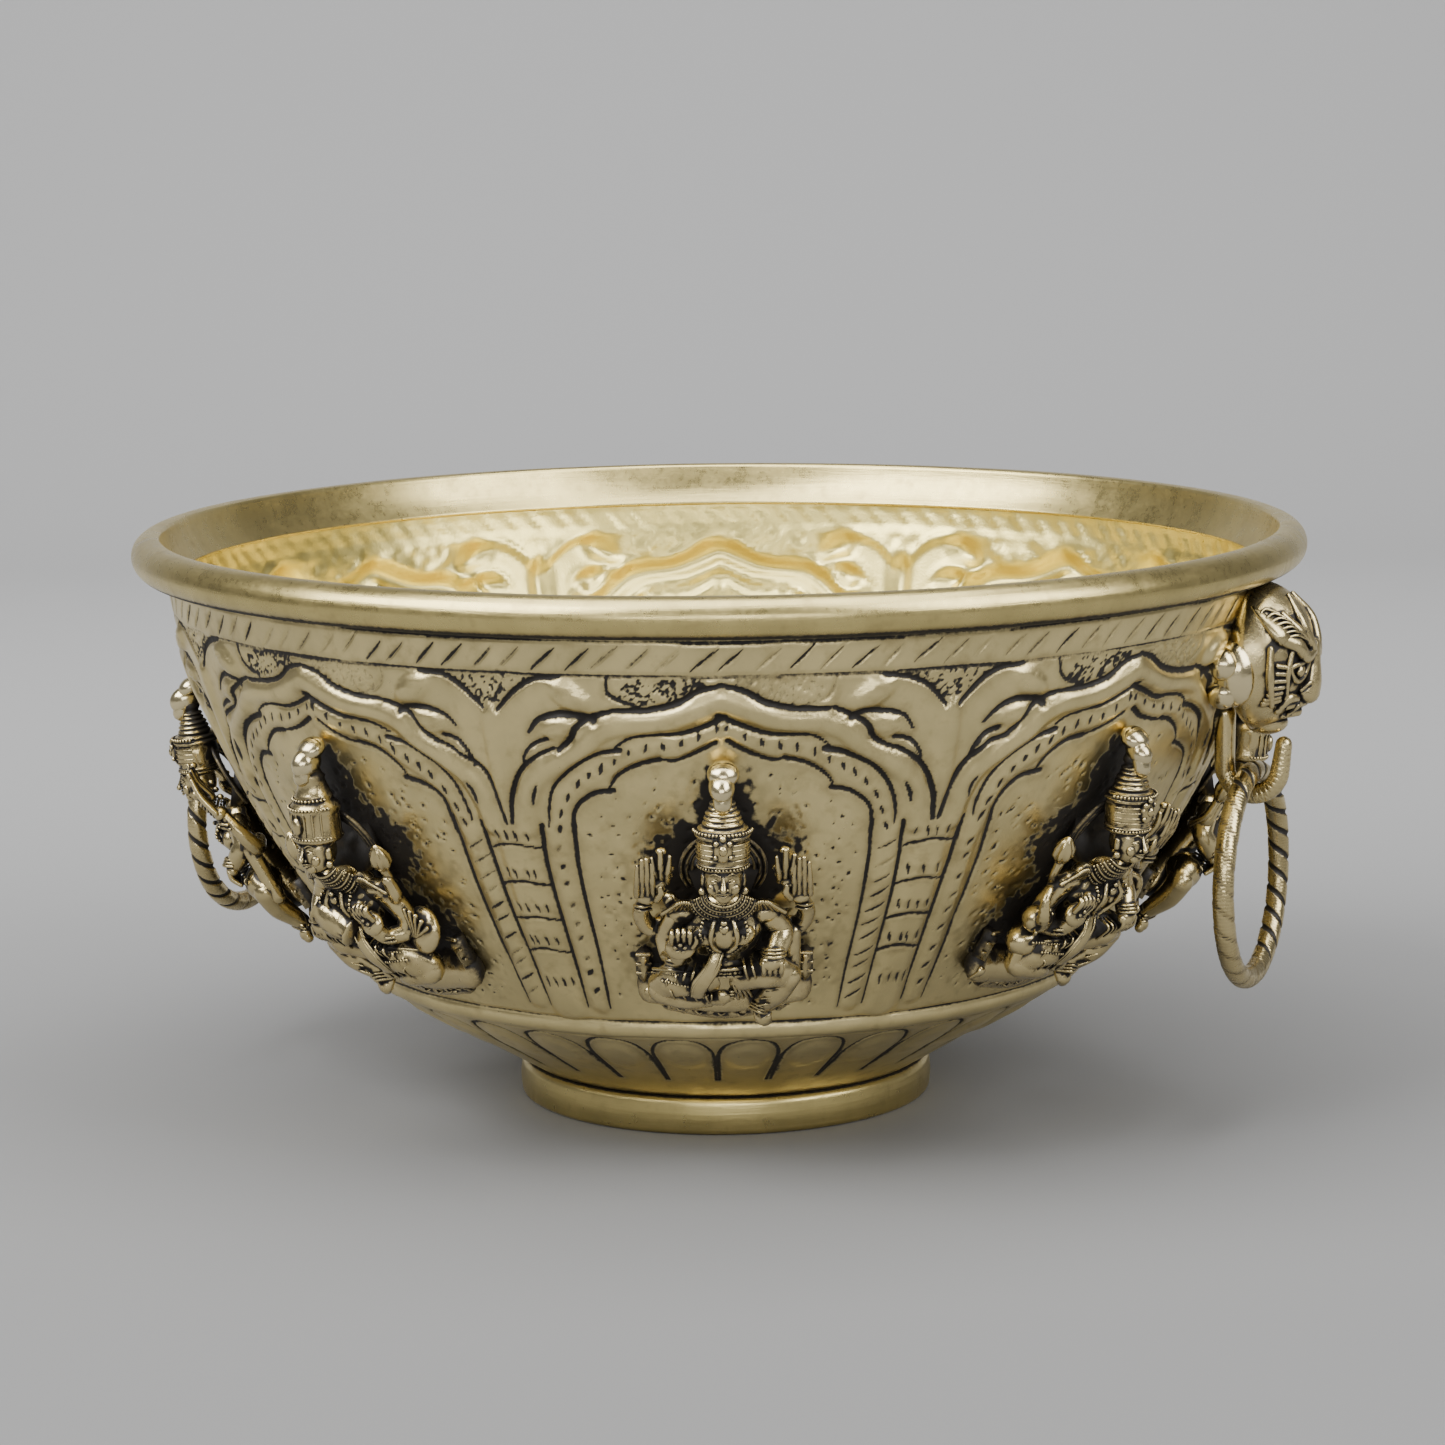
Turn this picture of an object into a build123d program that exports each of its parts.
from build123d import *
import math
import os

# Brass urli bowl. A raised sheet bowl stands on a brazed foot ring and ends in a
# heavy rolled bead. Eight cast seated figures are brazed round its wall, and two cast
# masks carry hooks, each with a loose ring that hangs in it.
#
# Origin: centre of the foot's underside. +Z up. The two masks look along +X and -X.
# Millimetres and degrees.

# ---- Bowl body -----------------------------------------------------------
rim_diameter = 304.0          # across the outside of the bead
bowl_height = 150.75          # floor to the top of the bead
sheet = 2.0                   # wall thickness of the raised shell

bead_diameter = 10.2
bead_overhang = 8.3           # how far the bead stands out past the wall's top edge
bead_seat = 9.75              # from the top of the bead down to the wall's top edge
lip_depth = 11.2              # the flared lip inside the bead, top to bottom
lip_thickness = 1.6           # of the lip where it lies on the shell

moulding_radius = 96.2        # of the wall where it meets the rounded moulding
moulding_top = 39.3
moulding_height = 4.3
moulding_swell = 0.9          # how far the moulding bulges past its own edges

moulding_spread = 2.2         # how much wider the moulding's top is than its bottom

wall_bow = 8.46               # degrees that the straight lower wall leans out past the
                              # line from the moulding's top to the wall's top edge
flare_rise = 29.5             # height of the straight lower wall

cone_foot_radius = 52.6       # of the fluted cone where it meets the foot

foot_overhang = 1.5           # how far the foot stands out past the cone's end
foot_height = 10.0
foot_width = 7.0              # radial width of the ring
foot_shoulder = 2.4           # rounding of the foot's upper outside edge
foot_heel = 1.6               # rounding of the foot's lower outside edge

# ---- Cast figures --------------------------------------------------------
figure_count = 8
figure_first_angle = -67.5    # from +X, anticlockwise seen from above
figure_base_rise = 2.6        # lowest point of the seat above the moulding's top
figure_root = 6.0             # how far each casting is carried into the wall before
                              # its back is cut to fit it

seat_width, seat_height, seat_depth = 36.0, 9.0, 9.5
throne_width, throne_height, throne_depth = 40.0, 14.0, 6.0
lap_radius, lap_width = 5.6, 27.0
hip_radius, shoulder_radius, torso_height = 8.0, 7.4, 21.0
shoulder_width = 21.0
head_radius = 6.4
crown_radius, crown_tip_radius, crown_height = 6.2, 1.6, 27.0
halo_radius, halo_depth = 12.5, 3.0
arm_radius = 2.7
hand_radius = 3.6
spray_length = 8.0            # of the bunch held in each raised hand
leg_radius, foot_toe_radius = 3.6, 3.2
braze_radius = 3.4            # lump that holds each crown's tip to the wall

# ---- Mask, hook and ring, one set on +X and one on -X ----------------------
mask_gap = 2.6                # between the wall and the mask's hollow back
mask_height, mask_width, mask_depth = 35.0, 33.0, 23.0
mask_drop = 28.75             # from the top of the bead down to the mask's centre
mask_reach = 8.0              # from the bead's outside in to the mask's centre
ear_radius, ear_length = 5.0, 12.0
brow_radius, brow_width = 3.4, 22.0
snout_radius, chin_radius = 7.0, 5.0

hook_wire = 4.8
hook_gap = 9.5                # clear width between the hook's two legs
hook_leg = 9.0                # from the chin's centre down to where the legs turn
hook_tip_rise = 6.0           # the outer leg's straight stretch
hook_tip_lean = 8.0           # of the outer leg, away from the wall

ring_wire = 5.5
ring_outside = 57.5
ring_play = 0.3               # between the ring and the hook it rests in
wall_play = 0.5               # between the hook's inner leg and the wall beside it

handle_braze_radius = 5.2
handle_braze_side = 12.0      # of each lump from the mask's middle plane
handle_braze_drop = 32.0      # of each lump's middle below the top of the bead
handle_braze_rise = 5.0       # between the centres of each lump's two ends


# ---- Worked out from the sizes above --------------------------------------
rim_radius = rim_diameter / 2
bead_radius = bead_diameter / 2
bead_z = bowl_height - bead_radius
wall_top_radius = rim_radius - bead_overhang
wall_top = bowl_height - bead_seat
moulding_bottom = moulding_top - moulding_height
cone_top_radius = moulding_radius - moulding_spread
foot_radius = cone_foot_radius + foot_overhang

wall_line = math.atan2(wall_top_radius - moulding_radius, wall_top - moulding_top)
flare = wall_line + math.radians(wall_bow)
flare_top = moulding_top + flare_rise
flare_top_radius = moulding_radius + flare_rise * math.tan(flare)

# The upper wall is one arc. It leaves the straight flare in line with it and ends at
# the wall's top edge, so its chord and its first tangent give its radius.
chord = math.hypot(wall_top_radius - flare_top_radius, wall_top - flare_top)
chord_angle = math.atan2(wall_top_radius - flare_top_radius, wall_top - flare_top)
wall_arc = chord / (2 * math.sin(flare - chord_angle))
arc_centre_r = flare_top_radius - wall_arc * math.cos(flare)
arc_centre_z = flare_top + wall_arc * math.sin(flare)


def wall_radius(z):
    """The outside radius of the wall at a height."""
    if z < flare_top:
        return moulding_radius + (z - moulding_top) * math.tan(flare)
    return arc_centre_r + math.sqrt(wall_arc ** 2 - (z - arc_centre_z) ** 2)


def wall_lean(z):
    """The wall's lean from the vertical at a height, in radians."""
    return flare if z < flare_top else math.asin((arc_centre_z - z) / wall_arc)


def slope_point(start, length):
    """A height that is a given length up the wall from another one."""
    straight = (flare_top - start) / math.cos(flare)
    if length < straight:
        return start + length * math.cos(flare)
    lean = wall_lean(max(start, flare_top)) - (length - max(straight, 0)) / wall_arc
    return arc_centre_z - wall_arc * math.sin(lean)


def turned(shape):
    """A solid of revolution about Z from a face drawn in the XZ plane."""
    return revolve(shape, Axis.Z, 360)


def rz(r, z):
    """A point of an outline in the XZ plane."""
    return (r, 0, z)


def body_outline(inset, top):
    """The bowl's outside, filled to the axis, with the wall moved in by inset. A
    negative inset moves it out."""
    arc_radius = wall_arc - inset
    out = (math.cos(flare), -math.sin(flare))
    flare_low = rz(moulding_radius - inset * out[0], moulding_top - inset * out[1])
    flare_high = rz(flare_top_radius - inset * out[0], flare_top - inset * out[1])
    arc_end = arc_centre_r + math.sqrt(arc_radius ** 2 - (top - arc_centre_z) ** 2)
    middle = (flare + math.asin((arc_centre_z - top) / arc_radius)) / 2
    arc_middle = rz(arc_centre_r + arc_radius * math.cos(middle),
                    arc_centre_z - arc_radius * math.sin(middle))
    side = Line(flare_low, flare_high) + ThreePointArc(flare_high, arc_middle, rz(arc_end, top))

    run, rise = cone_top_radius - cone_foot_radius, moulding_bottom - foot_height
    cone = math.hypot(run, rise)
    shift = (-inset * rise / cone, inset * run / cone)
    cone_high = rz(cone_top_radius + shift[0], moulding_bottom + shift[1])
    floor_z = foot_height + inset
    floor_edge = rz(cone_foot_radius + shift[0] + (floor_z - foot_height - shift[1]) * run / rise,
                    floor_z)
    moulding = Line(cone_high, flare_low)
    if inset == 0:
        swell = rz((cone_top_radius + moulding_radius) / 2 + moulding_swell,
                   (moulding_top + moulding_bottom) / 2)
        moulding = ThreePointArc(cone_high, swell, flare_low)
    close = Polyline(rz(arc_end, top), rz(0, top), rz(0, floor_z), floor_edge, cone_high)
    return make_face(side + moulding + close)


def filled_body(inset=0.0, top=wall_top):
    return turned(body_outline(inset, top))


def make_shell():
    """The raised sheet bowl: wall, moulding, fluted cone and flat bottom."""
    return filled_body() - filled_body(sheet, wall_top)


def make_rim():
    """The rolled bead with the flared lip that lies inside the shell's edge."""
    bead_r = rim_radius - bead_radius
    bead = Plane.XZ * Pos(bead_r, bead_z) * Circle(bead_radius)
    lip_bottom = bowl_height - lip_depth
    inside = wall_radius(lip_bottom) - sheet
    lip = make_face(Polyline(
        rz(bead_r, bowl_height),
        rz(inside - lip_thickness, lip_bottom),
        rz(inside + sheet / 2, lip_bottom),
        rz(wall_top_radius, wall_top),
        rz(bead_r, bead_z),
        close=True))
    return turned(bead) + turned(lip) - make_shell()


def make_foot():
    """The cast foot ring, brazed under the shell's flat bottom."""
    ring = Cylinder(foot_radius, foot_height, align=(Align.CENTER, Align.CENTER, Align.MIN))
    top_edge = ring.edges().sort_by(Axis.Z)[-1]
    ring = fillet(top_edge, foot_shoulder)
    heel_edge = ring.edges().filter_by(GeomType.CIRCLE).sort_by(Axis.Z)[0]
    ring = fillet(heel_edge, foot_heel)
    bore = Cylinder(foot_radius - foot_width, foot_height,
                    align=(Align.CENTER, Align.CENTER, Align.MIN))
    return ring - bore


# ---- Figures ---------------------------------------------------------------
def wall_plane(z):
    """A plane on the wall at +X: x along the rim, y up the wall, z straight out."""
    lean = wall_lean(z)
    return Plane(origin=(wall_radius(z), 0, z), x_dir=(0, 1, 0),
                 z_dir=(math.cos(lean), 0, -math.sin(lean)))


def ball(radius, at):
    return Pos(*at) * Sphere(radius)


def limb(radius, start, end):
    """A round bar with ball ends between two points."""
    way = Vector(*end) - Vector(*start)
    bar = Plane(origin=start, z_dir=way) * Cylinder(
        radius, way.length, align=(Align.CENTER, Align.CENTER, Align.MIN))
    return bar + ball(radius, start) + ball(radius, end)


def block(width, height, depth, v):
    """A box on the wall, its lower edge at v up the wall."""
    return Pos(0, v, -figure_root) * Box(
        width, height, depth + figure_root, align=(Align.CENTER, Align.MIN, Align.MIN))


def standing_disc(radius, depth, v):
    return Pos(0, v, -figure_root) * Cylinder(
        radius, depth + figure_root, align=(Align.CENTER, Align.CENTER, Align.MIN))


def seated_body():
    """What all the figures share: throne, seat, lap, torso, head, crown and halo.
    x is the figure's left to right as seen, y up the wall, z out from it."""
    lap_v = seat_height + lap_radius * 0.7
    hips = (0, lap_v + 2, hip_radius * 0.6)
    chest_v = lap_v + torso_height
    torso = Plane(origin=hips, z_dir=(0, 1, 0)) * Cone(
        hip_radius, shoulder_radius, torso_height - 4,
        align=(Align.CENTER, Align.CENTER, Align.MIN))
    head_v = chest_v + head_radius + 3
    crown = Plane(origin=(0, head_v + 2, head_radius * 0.9), z_dir=(0, 1, -0.12)) * Cone(
        crown_radius, crown_tip_radius, crown_height,
        align=(Align.CENTER, Align.CENTER, Align.MIN))
    half_lap = lap_width / 2 - lap_radius
    figure = block(throne_width, throne_height, throne_depth, seat_height - 2)
    figure += block(seat_width, seat_height, seat_depth, 0)
    figure += limb(lap_radius, (-half_lap, lap_v, lap_radius), (half_lap, lap_v, lap_radius))
    figure += torso
    half_shoulder = shoulder_width / 2 - arm_radius
    figure += limb(arm_radius * 1.3, (-half_shoulder, chest_v - 4, hip_radius * 0.6),
                   (half_shoulder, chest_v - 4, hip_radius * 0.6))
    figure += ball(head_radius, (0, head_v, head_radius * 1.05))
    figure += standing_disc(halo_radius, halo_depth, head_v)
    figure += crown
    shoulder = (half_shoulder, chest_v - 4, hip_radius * 0.6)
    return figure, shoulder, lap_v


def arms(shoulder, hand, elbow=None):
    """An arm from a shoulder to a hand, on both sides, with a knot for the hand."""
    pair = Part()
    for side in (-1, 1):
        start = (side * shoulder[0], shoulder[1], shoulder[2])
        end = (side * hand[0], hand[1], hand[2])
        joint = (side * elbow[0], elbow[1], elbow[2]) if elbow else end
        pair += limb(arm_radius, start, joint)
        if elbow:
            pair += limb(arm_radius, joint, end)
        pair += ball(hand_radius, end)
    return pair


def fore_arms(shoulder, lap_v):
    elbow = (shoulder[0] + 4.0, shoulder[1] - 10, shoulder[2])
    return arms(shoulder, (shoulder[0] + 1.5, lap_v + 6, shoulder[2] + 4), elbow)


def hanging_leg(side, lap_v):
    """The leg that hangs from the seat, with its foot on the moulding."""
    knee = (side * 9.0, lap_v - 1, lap_radius + 1.5)
    ankle = (side * 8.0, 0.5, leg_radius + 1.5)
    return limb(leg_radius, knee, ankle) + ball(foot_toe_radius, ankle)


def figure_with_raised_hands():
    """Two fore arms and two raised hind arms that hold bunched sprays."""
    figure, shoulder, lap_v = seated_body()
    hand = (shoulder[0] + 7.5, shoulder[1] + 7, 4.0)
    figure += fore_arms(shoulder, lap_v)
    figure += arms(shoulder, hand)
    figure += hanging_leg(1, lap_v)
    for side in (-1, 1):
        spray = Plane(origin=(side * hand[0], hand[1], hand[2]), z_dir=(0, 1, 0))
        figure += spray * Cone(hand_radius * 0.7, hand_radius * 1.2, spray_length,
                               align=(Align.CENTER, Align.CENTER, Align.MIN))
    return figure


def figure_with_drum():
    """Raised hands, a drum across the lap and a round shield at one side."""
    figure, shoulder, lap_v = seated_body()
    figure += fore_arms(shoulder, lap_v)
    figure += arms(shoulder, (shoulder[0] + 7.0, shoulder[1] + 6, 3.5))
    figure += limb(4.4, (-8.0, lap_v + 9, 12.0), (2.0, lap_v + 4, 12.0))
    figure += Pos(shoulder[0] + 9.5, 0, 0) * standing_disc(5.0, 5.0, lap_v + 6)
    figure += hanging_leg(-1, lap_v)
    return figure


def figure_with_elephant():
    """Raised hands, with a small elephant that lifts its trunk at one side."""
    figure, shoulder, lap_v = seated_body()
    figure += fore_arms(shoulder, lap_v)
    figure += arms(shoulder, (shoulder[0] + 7.0, shoulder[1] + 6, 3.5))
    body_x, body_v = -(shoulder[0] + 6.5), lap_v + 3
    head = (body_x - 2.0, body_v + 7, 5.0)
    figure += Pos(body_x, 0, 0) * standing_disc(5.2, 9.0, body_v)
    figure += Pos(head[0], 0, 0) * standing_disc(3.7, 8.0, head[1])
    figure += limb(1.6, head, (head[0] - 2.6, head[1] + 6, 4.6))
    figure += hanging_leg(1, lap_v)
    return figure


def make_figures():
    """One casting of each kind, its back cut to the wall, copied round the bowl."""
    base = moulding_top + figure_base_rise
    middle = slope_point(base, seat_height + torso_height)
    place = wall_plane(middle) * Pos(0, -(seat_height + torso_height), 0)
    wall = filled_body()
    castings = [(place * kind()) - wall for kind in
                (figure_with_raised_hands, figure_with_elephant, figure_with_drum)]
    order = (0, 1, 2, 0, 1, 2, 0, 2)
    step = 360 / figure_count
    found = {}
    for i in range(figure_count):
        turn = Rot(0, 0, figure_first_angle + i * step)
        found[f"figure_{i + 1}"] = turn * castings[order[i % len(order)]]
    return found


def make_figure_braze(figures):
    """The lumps that hold the crowns' tips to the wall, one for each figure."""
    base = moulding_top + figure_base_rise
    tip_length = (seat_height + lap_radius * 0.7 + torso_height + head_radius + 3
                  + 2 + crown_height)
    z = slope_point(base, tip_length)
    lump = wall_plane(z) * Sphere(braze_radius) - filled_body()
    step = 360 / figure_count
    lumps = Part()
    for i in range(figure_count):
        one = Rot(0, 0, figure_first_angle + i * step) * lump
        lumps += one - figures[f"figure_{i + 1}"]
    return lumps


# ---- Masks, hooks and rings --------------------------------------------------
mask_z = bowl_height - mask_drop
handle_braze_z = bowl_height - handle_braze_drop
mask_x = rim_radius - mask_reach
chin_z = mask_z - mask_height / 2 - 1.5
hook_turn_z = chin_z - hook_leg
leg_spacing = hook_gap + hook_wire
inner_leg_x = wall_radius(chin_z) + wall_play + hook_wire / 2
hook_x = inner_leg_x + leg_spacing / 2
hook_floor = hook_turn_z - hook_gap / 2
pivot_z = hook_floor + ring_play + ring_wire / 2
ring_radius = (ring_outside - ring_wire) / 2


def ellipsoid(depth, width, height, at):
    return Pos(*at) * scale(Sphere(0.5), by=(depth, width, height))


def make_hook():
    """A bar that drops from the chin, turns up and ends in a round, leaning tip."""
    lean = math.radians(hook_tip_lean)
    inner_turn = (inner_leg_x, 0, hook_turn_z)
    low = (hook_x, 0, hook_turn_z - leg_spacing / 2)
    outer_turn = (hook_x + leg_spacing / 2, 0, hook_turn_z)
    tip = (outer_turn[0] + hook_tip_rise * math.tan(lean), 0, hook_turn_z + hook_tip_rise)
    section = Plane(origin=inner_turn, z_dir=(0, 0, -1)) * Circle(hook_wire / 2)
    bend = sweep(section, ThreePointArc(inner_turn, low, outer_turn))
    shank = Pos(*inner_turn) * Cylinder(hook_wire / 2, hook_leg,
                                        align=(Align.CENTER, Align.CENTER, Align.MIN))
    return bend + shank + limb(hook_wire / 2, outer_turn, tip)


def make_mask():
    """A lion-like mask with its hook, cast in one piece, its hollow back held off
    the wall."""
    top = mask_z + mask_height / 2
    face = ellipsoid(mask_depth, mask_width, mask_height, (mask_x, 0, mask_z))
    brow_x = mask_x + mask_depth / 2 - brow_radius * 0.9
    half_brow = brow_width / 2 - brow_radius
    face += limb(brow_radius, (brow_x, -half_brow, mask_z + 5), (brow_x, half_brow, mask_z + 5))
    face += ball(snout_radius, (mask_x + mask_depth / 2 - snout_radius * 1.1, 0, mask_z - 9))
    face += ball(chin_radius, (inner_leg_x + chin_radius * 0.8, 0, chin_z + 2))
    for side in (-1, 1):
        root = (mask_x - 1, side * mask_width * 0.36, top - 12)
        ear = Plane(origin=root, z_dir=(0, side * 0.55, 1)) * Cone(
            ear_radius, 1.2, ear_length, align=(Align.CENTER, Align.CENTER, Align.MIN))
        face += ear
    hollow = filled_body(-mask_gap, wall_top)
    face -= hollow
    ceiling = bead_z - bead_radius - 0.8
    over = Pos(mask_x, 0, ceiling) * Box(
        2 * mask_depth, 2 * mask_width, mask_height, align=(Align.CENTER, Align.CENTER, Align.MIN))
    return face - over + make_hook()


def make_handle_braze(mask):
    """The two lumps that hold a mask's sides to the wall."""
    low, high = handle_braze_z - handle_braze_rise / 2, handle_braze_z + handle_braze_rise / 2
    lumps = Part()
    for side in (-1, 1):
        y = side * handle_braze_side
        lump = limb(handle_braze_radius, (wall_radius(low) + mask_gap / 2, y, low),
                    (wall_radius(high) + mask_gap / 2, y, high))
        lumps += lump - filled_body() - mask
    return lumps


def make_ring():
    """The loose ring at rest, straight down from the hook."""
    centre = Plane(origin=(hook_x, 0, pivot_z - ring_radius), z_dir=(1, 0, 0))
    return centre * Torus(ring_radius, ring_wire / 2)


def write_parts(nodes):
    os.makedirs("parts", exist_ok=True)
    for name, shape in nodes.items():
        export_step(shape, f"parts/{name}.step")


figures = make_figures()
mask = make_mask()
handle_braze = make_handle_braze(mask)
ring = make_ring()
half_turn = Rot(0, 0, 180)

nodes = {
    "bowl_shell": make_shell(),
    "rim_bead": make_rim(),
    "foot_ring": make_foot(),
    **figures,
    "figure_braze": make_figure_braze(figures),
    "mask_right": mask,
    "mask_left": half_turn * mask,
    "mask_braze_right": handle_braze,
    "mask_braze_left": half_turn * handle_braze,
    "ring_right": ring,
    "ring_left": half_turn * ring,
}
write_parts(nodes)
print(f"ring pivot: x {hook_x:.3f}, z {pivot_z:.3f}, ring radius {ring_radius:.3f}")
print(f"inside floor z {foot_height + sheet:.2f}, wall top z {wall_top:.2f}")
